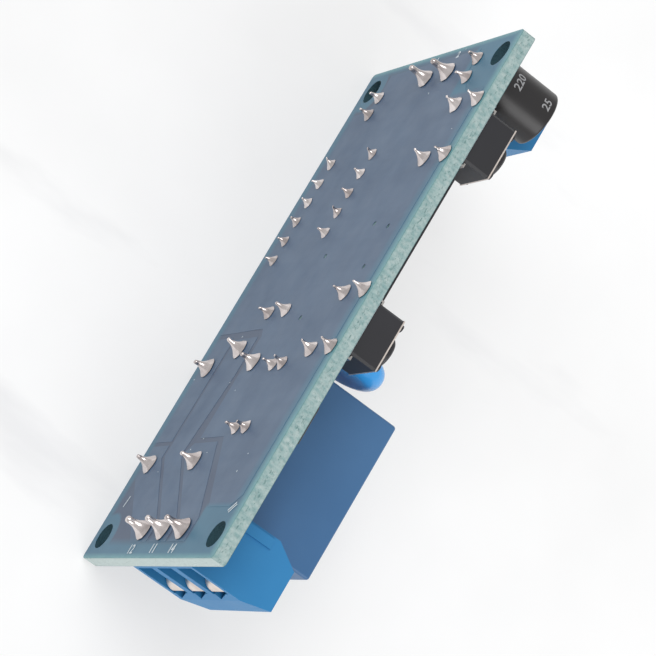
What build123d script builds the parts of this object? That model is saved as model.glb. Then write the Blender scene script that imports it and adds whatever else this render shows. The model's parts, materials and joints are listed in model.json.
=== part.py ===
"""Timer relay module: a small circuit board with a relay, two screw terminals, a three-digit
display and two push switches. Millimetres.

The board is laid out flat: x runs along it from the 3-way terminal's end, y runs across it from
the long edge beside the relay, and z rises from the middle of its thickness towards the
components. At the end every piece is stood up on that long edge, as the module stands: +Z is up,
+Y points out of the component face, and the origin is the middle of the lower long edge.
"""
import os
from math import hypot, radians, tan

from build123d import *

# Sheet and pin grid that the parts on the board follow
grid = 2.54

# Clearances
seat_gap = 0.05
slide_gap = 0.15
solder_gap = 0.02
cut_over = 1.0

# Lengths along the board, from the 3-way terminal's end
terminal_end_inset = 0.1
terminal_depth = 7.3
relay_gap = 0.4
relay_length = 18.9
disc_bay = 6.12
display_length = 22.5
display_gap = 0.58
relay_start = terminal_end_inset + terminal_depth + relay_gap
relay_end = relay_start + relay_length
display_start = relay_end + disc_bay
display_end = display_start + display_length

# Board
board_length = display_end + display_gap + terminal_depth + terminal_end_inset
board_width = 34.5
board_thickness = 1.6
corner_radius = 0.5
mount_hole_radius = 1.5
mount_inset_x = 2.7
mount_inset_y = 2.5
lead_hole_gap = 0.12
via_radius = 0.25

# Relay
relay_y = 9.46
relay_width = 15.5
relay_height = 15.0
relay_wall = 0.45
relay_edge_radius = 0.35
relay_base_thickness = 1.2
relay_foot = 0.3
relay_foot_radius = 0.6
relay_foot_inset = 2.0
relay_com_inset = 0.9
relay_coil_inset = 2.9
relay_contact_inset = 3.8
relay_pin_side_inset = 1.75
relay_pin_radius = 0.35
relay_pin_tip = 1.7
pin_head = 0.4
contact_strip_width = 1.6
contact_strip_thickness = 0.5
contact_radius = 1.0
contact_height = 0.5
contact_gap = 0.65
bobbin_flange_thickness = 0.8
bobbin_tube_radius = 2.0
bobbin_share = 0.53
bobbin_pin_gap = 1.0
winding_inset = 0.6
core_radius = 1.4
pole_radius = 2.4
pole_thickness = 0.6
yoke_thickness = 1.0
yoke_inset = 1.0
armature_thickness = 0.9
armature_gap = 0.45
armature_overhang = 1.75
armature_corner = 0.5
blade_thickness = 0.2
blade_width = 3.2
blade_root = 1.0
blade_tip = 1.2
cover_headroom = 0.6

# Screw terminals
terminal_pitch = 5.08
terminal_height = 9.8
terminal_front_setback = 0.85
terminal_front_rise = 1.2
terminal_back_setback = 1.8
terminal_back_drop = 2.9
terminal_3p_y = 18.15
terminal_2p_y = 18.85
mouth_width = 3.7
mouth_floor = 0.5
chamber_front = 1.1
chamber_back = 6.2
notch_width = 2.9
notch_offset = 1.75
notch_rise = 1.0
screw_depth = 3.25
screw_head_radius = 1.5
screw_head_height = 1.2
screw_head_recess = 0.35
screw_shank_radius = 1.2
screw_slot_width = 0.5
screw_slot_depth = 0.6
clamp_travel = 2.2
nut_thickness = 0.75
strip_thickness = 0.4
strip_width = 3.2
strip_foot_reach = 1.6
guard_drop = 1.8
guard_thickness = 0.3
guard_width = 3.3
guard_lip_radius = 1.3
guard_lip_rise = 0.2
guard_front = 0.1
terminal_pin_radius = 0.5
terminal_pin_tip = 2.3
rib_width = 1.1
rib_depth = 0.25
rib_from_front = 5.95
rib_height = 6.3

# Display
display_y = 8.8
display_width = 14.0
display_height = 7.1
display_wall = 1.0
display_row_spacing = 10.16
display_lower_pins = 6
display_upper_pins = 5
display_pin_radius = 0.25
display_pin_tip = 0.95
digit_count = 3
digit_gap = 0.2
digit_side_margin = 2.6
digit_end_margin = 2.43
digit_slant = 8.0
segment_width = 0.95
segment_gap = 0.12
dot_offset = 1.28
dot_radius = 0.52
window_depth = 1.2
back_plate_lift = 0.6
back_plate_thickness = 1.0

# Push switches
switch_1_from_display_end = 4.15
switch_2_from_relay_end = 1.14
switch_y = 30.9
switch_side = 6.0
switch_corner = 0.25
switch_base_height = 3.35
switch_standoff = 0.1
switch_well_radius = 2.5
switch_floor = 0.8
plate_thickness = 0.15
rivet_radius = 0.4
rivet_spread = 2.35
rivet_height = 0.3
button_radius = 1.75
button_height = 4.55
button_edge = 0.2
button_flange_radius = 2.3
button_flange_thickness = 0.6
button_travel = 0.25
button_nub_radius = 0.8
button_lift = 0.06
dome_radius = 2.1
dome_height = 0.4
dome_thickness = 0.12
leg_spread_x = 6.8
leg_spread_y = 4.6
leg_width = 0.7
leg_thickness = 0.2
leg_shoulder = 0.5
leg_pin_radius = 0.35
leg_pin_tip = 1.45

# Electrolytic capacitor
can_from_board_end = 3.73
can_y = 27.1
can_radius = 3.0
can_height = 7.0
can_wall = 0.3
can_edge_radius = 0.5
can_lift = 0.2
crimp_radius = 0.3
crimp_offset = 0.1
sleeve_thickness = 0.15
sleeve_lip = 0.6
sleeve_edge_radius = 0.3
bung_height = 1.6
can_lead_pitch = 2.4
thin_lead_radius = 0.25
thin_lead_tip = 1.3
lead_entry = 1.5

# Disc capacitor
disc_from_relay_end = 3.56
disc_y = 13.74
disc_radius = 4.1
disc_thickness = 3.0
disc_centre_height = 8.0
disc_lead_pitch = 4.2
disc_skirt_radius = 1.0
disc_skirt_height = 3.3

# Lamps
power_lamp_from_board_end = 5.32
power_lamp_y = 6.05
power_lamp_lift = 1.2
relay_lamp_from_relay_end = 3.57
relay_lamp_y = 22.2
relay_lamp_lift = 0.1
lamp_radius = 1.5
lamp_flange_radius = 1.9
lamp_flange_thickness = 0.9
lamp_flat_offset = 1.6
lamp_height = 3.8
lamp_lead_pitch = 2.3

# Small dipped ceramic capacitor
ceramic_from_relay_start = 7.6
ceramic_y = 22.5
ceramic_width = 4.2
ceramic_thickness = 2.4
ceramic_height = 2.7
ceramic_lift = 0.9
ceramic_edge_radius = 0.96
ceramic_lead_pitch = 2.46

# Surface parts
chip_lift = 0.1
surface_lead_thickness = 0.2
controller_width = 4.4
controller_length = 6.5
controller_height = 1.0
controller_edge = 0.12
controller_pins = 10
controller_pin_pitch = 0.65
controller_pin_width = 0.24
controller_pin_height = 0.7
controller_pin_reach = 1.0
regulator_length = 6.5
regulator_width = 3.5
regulator_height = 1.6
regulator_edge = 0.2
regulator_pin_pitch = 2.3
regulator_pin_width = 0.7
regulator_tab_width = 3.0
regulator_lead_height = 1.0
regulator_lead_reach = 1.7
transistor_from_relay_end = 2.3
transistor_y = 23.9
transistor_length = 2.9
transistor_width = 1.3
transistor_height = 1.0
transistor_pin_pitch = 1.9
transistor_pin_width = 0.4
transistor_lead_height = 0.6
transistor_lead_reach = 0.6
diode_length = 4.3
diode_width = 2.6
diode_height = 2.1
diode_edge = 0.2
diode_tab_width = 1.5
diode_tab_reach = 0.4
diode_tab_height = 1.0
chip_length = 2.0
chip_width = 1.25
chip_height = 0.55
chip_cap_length = 0.4
chip_cap_proud = 0.03
resistor_row_inset = 2.85
resistor_row_y = 17.3
resistor_count = 8

# Solder fillets: foot radius and height, by the size of the lead
relay_foot_solder = 1.35
relay_solder_height = 1.25
terminal_3p_foot_solder = 1.5
terminal_3p_solder_height = 1.4
terminal_2p_foot_solder = 1.35
terminal_2p_solder_height = 1.3
switch_foot_solder = 1.15
switch_solder_height = 1.05
display_foot_solder = 0.8
display_solder_height = 0.75
thin_foot_solder = 1.0
thin_solder_height = 0.95
solder_collar = 0.12
solder_hollow = 0.12


def spot(stretch, share, across, turn=0):
    """A place on the board: a share of the way along a stretch, and steps of the pin grid across."""
    start, length = stretch
    return start + share * length, across * grid, turn


relay_stretch = relay_start, relay_length
bay_stretch = relay_end, disc_bay
display_stretch = display_start, display_length
vias = [spot(display_stretch, 0.324, 10.08), spot(display_stretch, 0.29, 11.61),
        spot(display_stretch, 0.182, 6.93), spot(display_stretch, 0.07, 11.59),
        spot(bay_stretch, 0.361, 8.19)]
diode_places = [spot(display_stretch, 0.826, 9.29), spot(bay_stretch, 0.457, 2.05, 90)]
resistor_pitch = (display_length - 2 * resistor_row_inset) / (resistor_count - 1)
resistor_places = [(display_start + resistor_row_inset + i * resistor_pitch, resistor_row_y, 90)
                   for i in range(resistor_count)]
resistor_places += [spot(relay_stretch, 0.667, 9.69), spot(display_stretch, 0.04, 9.69)]
capacitor_places = [spot(display_stretch, 0.186, 9.13, 90), spot(display_stretch, 0.613, 10.35),
                    spot(relay_stretch, 0.762, 12.2, 90)]
controller_x, controller_y, _ = spot(relay_stretch, 0.484, 11.3)
regulator_x, regulator_y, _ = spot(display_stretch, 0.466, 8.82)

deck = board_thickness / 2
solder_face = -deck
stand = Plane(origin=(board_length / 2, 0, 0), x_dir=(-1, 0, 0), z_dir=(0, 1, 0)).location

# Every lead that passes through the board: x, y, radius, and its solder's foot radius and height
leads = []


def block(x, y, z):
    """A box between two values on each axis."""
    size = [abs(pair[1] - pair[0]) for pair in (x, y, z)]
    middle = [(pair[0] + pair[1]) / 2 for pair in (x, y, z)]
    return Pos(*middle) * Box(*size)


def rod(x, y, z0, z1, radius):
    """A round bar that stands on the board."""
    return Pos(x, y, (z0 + z1) / 2) * Cylinder(radius, abs(z1 - z0))


def centred(middle, size):
    """The two ends of a stretch of the given size around its middle."""
    return middle - size / 2, middle + size / 2


def lead(x, y, top, radius, tip, foot, height):
    """A round lead from its component down through the board, noted for its hole and solder."""
    leads.append((x, y, radius, foot, height))
    return rod(x, y, solder_face - tip, top, radius)


def thin_lead(x, y, top):
    return lead(x, y, top, thin_lead_radius, thin_lead_tip, thin_foot_solder, thin_solder_height)


def extrude_along_y(points, y):
    """A profile of x and z points, extruded between two y values."""
    outline = Polyline(*[(px, y[0], pz) for px, pz in points], close=True)
    return extrude(make_face(outline), amount=y[1] - y[0], dir=(0, 1, 0))


def save(name, *solids):
    """Stand the piece up and write it."""
    shape = solids[0] if len(solids) == 1 else Compound(children=list(solids))
    export_step(stand * shape, f"parts/{name}.step")


# Relay

relay_x = (relay_start, relay_end)
relay_ys = centred(relay_y, relay_width)
relay_pin_spread = relay_width / 2 - relay_pin_side_inset
relay_bottom = deck + relay_foot
relay_top = deck + relay_height
relay_floor = relay_bottom + relay_base_thickness
com_x = relay_end - relay_com_inset
coil_pin_x = relay_end - relay_coil_inset
contact_x = relay_start + relay_contact_inset
hinge_x = relay_end - relay_wall - seat_gap

# The stack inside the cover, from the top down: fixed arm, blade, armature, pole and bobbin
arm_top = relay_top - relay_wall - cover_headroom
blade_top = arm_top - contact_strip_thickness - 2 * contact_height - seat_gap
armature_top = blade_top - blade_thickness
armature_bottom = armature_top - armature_thickness
pole_top = armature_bottom - armature_gap
bobbin_top = pole_top - pole_thickness - seat_gap
yoke_bottom = relay_floor + seat_gap
yoke_top = yoke_bottom + yoke_thickness
bobbin_bottom = yoke_top + seat_gap
bobbin_end = hinge_x - yoke_thickness - seat_gap
bobbin_start = bobbin_end - bobbin_share * relay_length
coil_x = (bobbin_start + bobbin_end) / 2
bobbin_width = 2 * (relay_pin_spread - bobbin_pin_gap)
yoke_width = bobbin_width - 2 * yoke_inset
winding_radius = min(bobbin_end - bobbin_start, bobbin_width) / 2 - winding_inset
armature_end = coil_x - pole_radius - armature_overhang
armature_radius = armature_thickness / 2


def relay_cover():
    outer = block(relay_x, relay_ys, (relay_bottom, relay_top))
    edges = outer.edges().filter_by(Axis.Z) + outer.faces().sort_by(Axis.Z)[-1].edges()
    outer = fillet(edges, relay_edge_radius)
    inner_x = (relay_x[0] + relay_wall, relay_x[1] - relay_wall)
    inner_y = (relay_ys[0] + relay_wall, relay_ys[1] - relay_wall)
    return outer - block(inner_x, inner_y, (relay_bottom, relay_top - relay_wall))


def relay_pin_places():
    """The common pin, the two coil pins and the two contact pins."""
    sides = (relay_y - relay_pin_spread, relay_y + relay_pin_spread)
    return [(com_x, relay_y)] + [(px, py) for px in (coil_pin_x, contact_x) for py in sides]


def relay_base():
    gap = relay_wall + seat_gap
    plate = block((relay_x[0] + gap, relay_x[1] - gap), (relay_ys[0] + gap, relay_ys[1] - gap),
                  (relay_bottom, relay_floor))
    for px, py in relay_pin_places():
        plate -= rod(px, py, relay_bottom - cut_over, relay_floor + cut_over, relay_pin_radius + solder_gap)
    for px in (relay_x[0] + relay_foot_inset, relay_x[1] - relay_foot_inset):
        for py in (relay_ys[0] + relay_foot_inset, relay_ys[1] - relay_foot_inset):
            plate += rod(px, py, deck, relay_bottom + seat_gap, relay_foot_radius)
    return plate


def relay_pin(px, py, top):
    return lead(px, py, top, relay_pin_radius, relay_pin_tip, relay_foot_solder, relay_solder_height)


def contact_pin(px, py, upper):
    """A pin with a strip beside the coil and an arm that ends in a fixed contact at the blade's tip."""
    if upper:
        arm = (arm_top - contact_strip_thickness, arm_top)
        face = blade_top + contact_height + seat_gap
    else:
        face = armature_top - contact_height - contact_gap
        arm = (face - contact_height - contact_strip_thickness, face - contact_height)
    strip = block(centred(px, contact_strip_width), centred(py, contact_strip_thickness),
                  (relay_floor + seat_gap, arm[1]))
    outer = py + (contact_strip_thickness / 2 if py > relay_y else -contact_strip_thickness / 2)
    beam = block(centred(px, contact_strip_width), sorted((outer, relay_y)), arm)
    contact = rod(px, relay_y, face, (arm[0] + arm[1]) / 2, contact_radius)
    return relay_pin(px, py, relay_floor + pin_head) + strip + beam + contact


def relay_pins():
    common, *coil = relay_pin_places()[:3]
    pins = [relay_pin(*common, relay_floor)] + [relay_pin(*place, relay_floor + pin_head) for place in coil]
    return pins + [contact_pin(px, py, py > relay_y) for px, py in relay_pin_places()[3:]]


def relay_bobbin():
    spool = rod(coil_x, relay_y, bobbin_bottom, bobbin_top, bobbin_tube_radius)
    for z in (bobbin_bottom, bobbin_top - bobbin_flange_thickness):
        spool += block((bobbin_start, bobbin_end), centred(relay_y, bobbin_width),
                       (z, z + bobbin_flange_thickness))
    bore = core_radius + seat_gap
    return spool - rod(coil_x, relay_y, bobbin_bottom - cut_over, bobbin_top + cut_over, bore)


def relay_winding():
    z = (bobbin_bottom + bobbin_flange_thickness + seat_gap,
         bobbin_top - bobbin_flange_thickness - seat_gap)
    wound = rod(coil_x, relay_y, *z, winding_radius)
    return wound - rod(coil_x, relay_y, *z, bobbin_tube_radius + seat_gap)


def relay_core():
    pole = rod(coil_x, relay_y, bobbin_top + seat_gap, pole_top, pole_radius)
    return pole + rod(coil_x, relay_y, yoke_bottom, pole_top, core_radius)


def relay_yoke():
    width = centred(relay_y, yoke_width)
    foot = block((coil_x - pole_radius, hinge_x), width, (yoke_bottom, yoke_top))
    wall = block((hinge_x - yoke_thickness, hinge_x), width, (yoke_bottom, armature_bottom - seat_gap))
    return foot + wall - rod(coil_x, relay_y, yoke_bottom - cut_over, yoke_top + cut_over,
                             core_radius + solder_gap)


def relay_armature():
    """A plate that rocks on the yoke's end: its near end is rounded about the axis it turns on."""
    plate = block((armature_end, hinge_x - armature_radius), centred(relay_y, yoke_width),
                  (armature_bottom, armature_top))
    plate = fillet(plate.edges().filter_by(Axis.Z).group_by(Axis.X)[0], armature_corner)
    barrel = Rot(90, 0, 0) * Cylinder(armature_radius, yoke_width)
    return plate + Pos(hinge_x - armature_radius, relay_y, armature_bottom + armature_radius) * barrel


def relay_blade():
    """The spring blade on the armature, with a contact on each side of its tip."""
    blade = block((contact_x - blade_tip, hinge_x - blade_root), centred(relay_y, blade_width),
                  (armature_top, blade_top))
    return blade + rod(contact_x, relay_y, armature_top - contact_height, blade_top + contact_height,
                       contact_radius)


# Screw terminals

screw_top = terminal_height - screw_head_recess
screw_shoulder = screw_top - screw_head_height
nut_top = screw_shoulder - clamp_travel - seat_gap
mouth_top = nut_top - nut_thickness - seat_gap
guard_bottom = mouth_top - guard_drop
strip_front = chamber_front + seat_gap
strip_back = chamber_back - seat_gap


def terminal_ways(middle_y, count):
    return [middle_y + (i - (count - 1) / 2) * terminal_pitch for i in range(count)]


def along(front, side, *depths):
    """The x of each depth behind a terminal's front; side is 1 where the front faces the low end."""
    return [front + side * depth for depth in depths]


def raised(*heights):
    """The z of each height over the board."""
    return [deck + height for height in heights]


def terminal_profile():
    """Depth and height of the housing's corners: an upright front, a slope, the top and the back."""
    front_height = mouth_top + terminal_front_rise
    back_height = terminal_height - terminal_back_drop
    return [(0, 0), (0, front_height), (terminal_front_setback, terminal_height),
            (terminal_depth - terminal_back_setback, terminal_height),
            (terminal_depth, back_height), (terminal_depth, 0)]


def mouth_notch(front, side, way):
    """The small triangular cut that runs up the front from a mouth's top edge and leans to one side."""
    start, end = along(front, side, -cut_over, chamber_front)
    low, high = raised(mouth_top - seat_gap, mouth_top + notch_rise)
    corners = [(y, low) for y in centred(way, notch_width)] + [(way - notch_offset, high)]
    outline = Polyline(*[(start, y, z) for y, z in corners], close=True)
    return extrude(make_face(outline), amount=abs(end - start), dir=(side, 0, 0))


def terminal_housing(front, side, middle_y, count):
    """One moulding: for each way a mouth, a chamber for the clamp and a well for the screw."""
    points = [(front + side * depth, deck + height) for depth, height in terminal_profile()]
    y = centred(middle_y, count * terminal_pitch)
    body = extrude_along_y(points, y)
    screw_x, = along(front, side, screw_depth)
    for way in terminal_ways(middle_y, count):
        across = centred(way, mouth_width)
        body -= block(along(front, side, -cut_over, chamber_back), across, raised(mouth_floor, mouth_top))
        body -= block(along(front, side, chamber_front, chamber_back), across,
                      raised(-cut_over, nut_top + seat_gap))
        body -= rod(screw_x, way, *raised(mouth_top, terminal_height + cut_over),
                    screw_head_radius + slide_gap)
        body -= mouth_notch(front, side, way)
    rib = along(front, side, rib_from_front, rib_from_front + rib_width)
    groove = along(front, side, rib_from_front - seat_gap, rib_from_front + rib_width + seat_gap)
    body += block(rib, (y[1] - rib_depth, y[1] + rib_depth), raised(0, rib_height))
    return body - block(groove, (y[0] - cut_over, y[0] + rib_depth + seat_gap),
                        raised(-cut_over, rib_height + seat_gap))


def terminal_contacts(front, side, middle_y, count, foot_solder, solder_height):
    """Bent strips open to the mouth: a plate under the wire, a back, a threaded top and a round pin."""
    strips = []
    screw_x, = along(front, side, screw_depth)
    for way in terminal_ways(middle_y, count):
        across = centred(way, strip_width)
        strip = block(along(front, side, strip_front, strip_back), across,
                      raised(nut_top - nut_thickness, nut_top))
        strip += block(along(front, side, strip_back - strip_thickness, strip_back), across,
                       raised(seat_gap, nut_top))
        strip += block(along(front, side, screw_depth - strip_foot_reach, strip_back), across,
                       raised(seat_gap, seat_gap + strip_thickness))
        strip -= rod(screw_x, way, *raised(mouth_top - cut_over, nut_top + cut_over),
                     screw_shank_radius + seat_gap)
        strip += lead(screw_x, way, deck + seat_gap + strip_thickness / 2, terminal_pin_radius,
                      terminal_pin_tip, foot_solder, solder_height)
        strips.append(strip)
    return strips


def clamp_screw(front, side, way):
    x, = along(front, side, screw_depth)
    tip, shoulder, top = raised(guard_bottom + guard_thickness + seat_gap, screw_shoulder, screw_top)
    screw = rod(x, way, tip, shoulder, screw_shank_radius) + rod(x, way, shoulder, top, screw_head_radius)
    reach = screw_head_radius + cut_over
    return screw - block((x - reach, x + reach), centred(way, screw_slot_width),
                         (top - screw_slot_depth, top + cut_over))


def wire_guard(front, side, way):
    """A leaf under the screw. Its front end curls up, so that a wire slides in beneath it."""
    lip_x, back_x = along(front, side, guard_front + guard_lip_radius,
                          strip_back - strip_thickness - slide_gap)
    across = centred(way, guard_width)
    bottom, top = raised(guard_bottom, guard_bottom + guard_thickness)
    leaf = block((lip_x, back_x), across, (bottom, top))
    curl_z = bottom + guard_lip_radius
    curl = Rot(90, 0, 0) * Cylinder(guard_lip_radius, guard_width)
    curl -= Rot(90, 0, 0) * Cylinder(guard_lip_radius - guard_thickness, guard_width + cut_over)
    curl = Pos(lip_x, way, curl_z) * curl
    quarter = block((lip_x, lip_x - side * guard_lip_radius), across, (bottom, curl_z))
    end_x = lip_x - side * guard_lip_radius
    end = block((end_x, end_x + side * guard_thickness), across, (curl_z, curl_z + guard_lip_rise))
    return leaf + (curl & quarter) + end


# Display

display_x = (display_start + display_end) / 2
digit_pitch = display_length / digit_count - digit_gap
digit_width = digit_pitch - digit_side_margin
digit_height = display_width - 2 * digit_end_margin


def segment_outline(length, width):
    """A bar with pointed ends."""
    half, point = length / 2, width / 2
    return [(-half, 0), (-half + point, point), (half - point, point), (half, 0),
            (half - point, -point), (-half + point, -point)]


def digit_segments(middle_x, grow):
    """The seven bars and the dot of one slanted digit, as prisms let into the face."""
    half_width = (digit_width - segment_width) / 2
    half_height = (digit_height - segment_width) / 2
    long_bar = half_height - segment_gap
    short_bar = 2 * half_width - segment_gap
    bars = [(0, s * half_height, short_bar, False) for s in (-1, 0, 1)]
    bars += [(a * half_width, b * half_height / 2, long_bar, True) for a in (-1, 1) for b in (-1, 1)]
    top = deck + display_height
    z = (top - window_depth, top)
    slant = tan(radians(digit_slant))
    solids = []
    for bx, by, length, upright in bars:
        outline = segment_outline(length + 2 * grow, segment_width + 2 * grow)
        points = [(bx - q, by + p) if upright else (bx + p, by + q) for p, q in outline]
        # The digit reads upright from the component side, where +x runs to the left
        placed = [(middle_x - px - py * slant, display_y + py, z[0]) for px, py in points]
        solids.append(extrude(make_face(Polyline(*placed, close=True)), amount=z[1] - z[0], dir=(0, 0, 1)))
    solids.append(rod(middle_x - half_width - dot_offset, display_y - half_height, *z, dot_radius + grow))
    return solids


def display_digits(grow=0.0):
    middles = [display_x + (i - (digit_count - 1) / 2) * digit_pitch for i in range(digit_count)]
    return [solid for middle in middles for solid in digit_segments(middle, grow)]


def display_shell():
    x = (display_start, display_end)
    y = centred(display_y, display_width)
    top = deck + display_height
    shell = block(x, y, (deck + seat_gap, top))
    hollow_x = (x[0] + display_wall, x[1] - display_wall)
    hollow_y = (y[0] + display_wall, y[1] - display_wall)
    shell -= block(hollow_x, hollow_y, (deck, top - window_depth))
    for window in display_digits(solder_gap):
        shell -= window
    return shell


def display_pin_places():
    first = display_x + (display_lower_pins - 1) / 2 * grid
    lower = [(first - i * grid, display_y - display_row_spacing / 2)
             for i in range(display_lower_pins)]
    upper = [(first - i * grid, display_y + display_row_spacing / 2)
             for i in range(display_upper_pins)]
    return lower + upper


back_bottom = deck + back_plate_lift
back_top = back_bottom + back_plate_thickness


def display_back():
    gap = display_wall + seat_gap
    plate = block((display_start + gap, display_end - gap), centred(display_y, display_width - 2 * gap),
                  (back_bottom, back_top))
    for px, py in display_pin_places():
        plate -= rod(px, py, deck, back_top + cut_over, display_pin_radius + solder_gap)
    return plate


def display_pins():
    return [lead(px, py, back_top + display_pin_radius, display_pin_radius, display_pin_tip,
                 display_foot_solder, display_solder_height) for px, py in display_pin_places()]


# Push switches

switch_xs = (display_end - switch_1_from_display_end, relay_end + switch_2_from_relay_end)
plate_bottom = deck + switch_base_height
plate_top = plate_bottom + plate_thickness
switch_seat = deck + switch_standoff
well_floor = switch_seat + switch_floor


def rivet_places(middle_x):
    return [(middle_x + a * rivet_spread, switch_y + b * rivet_spread) for a in (-1, 1) for b in (-1, 1)]


def switch_base(middle_x):
    """The moulded base: a round well for the dome, and four rivets that hold the plate."""
    body = block(centred(middle_x, switch_side), centred(switch_y, switch_side),
                 (switch_seat, plate_bottom))
    body = chamfer(body.edges().filter_by(Axis.Z), switch_corner)
    body -= rod(middle_x, switch_y, well_floor, plate_bottom + cut_over, switch_well_radius)
    for px, py in rivet_places(middle_x):
        body += rod(px, py, plate_bottom - seat_gap, plate_top + rivet_height, rivet_radius)
    return body


def switch_plate(middle_x):
    plate = block(centred(middle_x, switch_side), centred(switch_y, switch_side), (plate_bottom, plate_top))
    z = (plate_bottom - cut_over, plate_top + cut_over)
    plate -= rod(middle_x, switch_y, *z, button_radius + slide_gap)
    for px, py in rivet_places(middle_x):
        plate -= rod(px, py, *z, rivet_radius + solder_gap)
    return plate


def switch_button(middle_x):
    """Its flange is held under the plate, and its nub stands over the dome."""
    flange_top = plate_bottom - button_lift
    flange_bottom = flange_top - button_flange_thickness
    nub = well_floor + dome_height + seat_gap + button_travel
    button = rod(middle_x, switch_y, flange_bottom, deck + button_height, button_radius)
    button = chamfer(button.faces().sort_by(Axis.Z)[-1].edges(), button_edge)
    button += rod(middle_x, switch_y, flange_bottom, flange_top, button_flange_radius)
    return button + rod(middle_x, switch_y, nub, flange_bottom, button_nub_radius)


def switch_dome(middle_x):
    """A thin spherical cap: the snap spring."""
    outer = (dome_radius ** 2 + dome_height ** 2) / (2 * dome_height)
    cap = Sphere(outer) - Sphere(outer - dome_thickness)
    keep = rod(middle_x, switch_y, well_floor, plate_bottom, dome_radius)
    return (Pos(middle_x, switch_y, well_floor + dome_height - outer) * cap) & keep


def switch_legs(middle_x):
    """Four legs that leave the base's sides and turn down into the board."""
    legs = []
    shoulder_z = raised(leg_shoulder, leg_shoulder + leg_thickness)
    for a in (-1, 1):
        for py in centred(switch_y, leg_spread_y):
            px = middle_x + a * leg_spread_x / 2
            side = middle_x + a * (switch_side / 2 + seat_gap)
            across = centred(py, leg_width)
            shoulder = block((side, px + a * leg_thickness / 2), across, shoulder_z)
            drop = block(centred(px, leg_thickness), across, (switch_seat, shoulder_z[1]))
            pin = lead(px, py, switch_seat + seat_gap, leg_pin_radius, leg_pin_tip,
                       switch_foot_solder, switch_solder_height)
            legs.append(shoulder + drop + pin)
    return legs


# Electrolytic capacitor

can_x = board_length - can_from_board_end
can_bottom = deck + can_lift + sleeve_thickness
can_top = can_bottom + can_height
bung_top = can_bottom + bung_height


def crimp_ring(radius):
    """The round groove that holds the bung."""
    return Pos(can_x, can_y, bung_top) * Torus(can_radius + crimp_offset, radius)


def capacitor_can():
    """An aluminium cup, open at the board, with the crimp that holds the bung."""
    can = rod(can_x, can_y, can_bottom, can_top, can_radius)
    can = fillet(can.faces().sort_by(Axis.Z)[-1].edges(), can_edge_radius)
    can -= rod(can_x, can_y, can_bottom - cut_over, can_top - can_wall, can_radius - can_wall)
    return can - crimp_ring(crimp_radius)


def capacitor_sleeve():
    """Shrunk film with a narrow lip over both ends of the can."""
    inner_radius = can_radius + solder_gap
    sleeve = rod(can_x, can_y, can_bottom - sleeve_thickness, can_top + sleeve_thickness,
                 inner_radius + sleeve_thickness)
    sleeve = fillet(sleeve.edges(), sleeve_edge_radius)
    sleeve -= rod(can_x, can_y, can_bottom - solder_gap, can_top + solder_gap, inner_radius)
    return sleeve - rod(can_x, can_y, can_bottom - cut_over, can_top + cut_over, can_radius - sleeve_lip)


def can_lead_places():
    return [(x, can_y) for x in centred(can_x, can_lead_pitch)]


def capacitor_bung():
    bung = rod(can_x, can_y, can_bottom, bung_top, can_radius - can_wall - seat_gap)
    for px, py in can_lead_places():
        bung -= rod(px, py, can_bottom - cut_over, bung_top + cut_over, thin_lead_radius + solder_gap)
    return bung - crimp_ring(crimp_radius + can_wall)


def capacitor_leads():
    return [thin_lead(px, py, bung_top + can_wall) for px, py in can_lead_places()]


# Dipped parts and lamps

disc_x = relay_end + disc_from_relay_end
disc_middle = deck + disc_centre_height


def disc_lead_places():
    return [(disc_x, y) for y in centred(disc_y, disc_lead_pitch)]


def disc_body():
    """A dipped disc on edge, with a full round rim and a skirt that runs down each lead."""
    disc = fillet(Cylinder(disc_radius, disc_thickness).edges(), disc_thickness / 2 - seat_gap)
    disc = Pos(disc_x, disc_y, disc_middle) * (Rot(0, 90, 0) * disc)
    for px, py in disc_lead_places():
        disc += Pos(px, py, disc_middle - disc_radius) * Cone(
            thin_lead_radius + slide_gap, disc_skirt_radius, disc_skirt_height)
        disc -= rod(px, py, deck, disc_middle, thin_lead_radius + solder_gap)
    return disc


def disc_leads():
    return [thin_lead(px, py, disc_middle - solder_gap) for px, py in disc_lead_places()]


power_lamp_x = board_length - power_lamp_from_board_end
relay_lamp_x = relay_end - relay_lamp_from_relay_end


def lamp_lead_places(x, y, along_x):
    if along_x:
        return [(px, y) for px in centred(x, lamp_lead_pitch)]
    return [(x, py) for py in centred(y, lamp_lead_pitch)]


def lamp_lens(x, y, lift, along_x):
    """A round-nosed lens with a flange that is flat on one side."""
    bottom = deck + lift
    nose = bottom + lamp_height - lamp_radius
    lens = rod(x, y, bottom, bottom + lamp_flange_thickness, lamp_flange_radius)
    far = lamp_flange_radius + cut_over
    beyond = block((lamp_flat_offset, far), (-far, far), (bottom - cut_over, nose))
    lens -= Pos(x, y, 0) * (Rot(0, 0, 0 if along_x else 90) * beyond)
    lens += rod(x, y, bottom, nose, lamp_radius) + Pos(x, y, nose) * Sphere(lamp_radius)
    for px, py in lamp_lead_places(x, y, along_x):
        lens -= rod(px, py, bottom - cut_over, bottom + lead_entry + solder_gap,
                    thin_lead_radius + solder_gap)
    return lens


def lamp_leads():
    lamps = [(power_lamp_x, power_lamp_y, power_lamp_lift, True),
             (relay_lamp_x, relay_lamp_y, relay_lamp_lift, False)]
    return [thin_lead(px, py, deck + lift + lead_entry)
            for x, y, lift, along_x in lamps for px, py in lamp_lead_places(x, y, along_x)]


ceramic_x = relay_start + ceramic_from_relay_start
ceramic_bottom = deck + ceramic_lift


def ceramic_lead_places():
    return [(ceramic_x, y) for y in centred(ceramic_y, ceramic_lead_pitch)]


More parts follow.
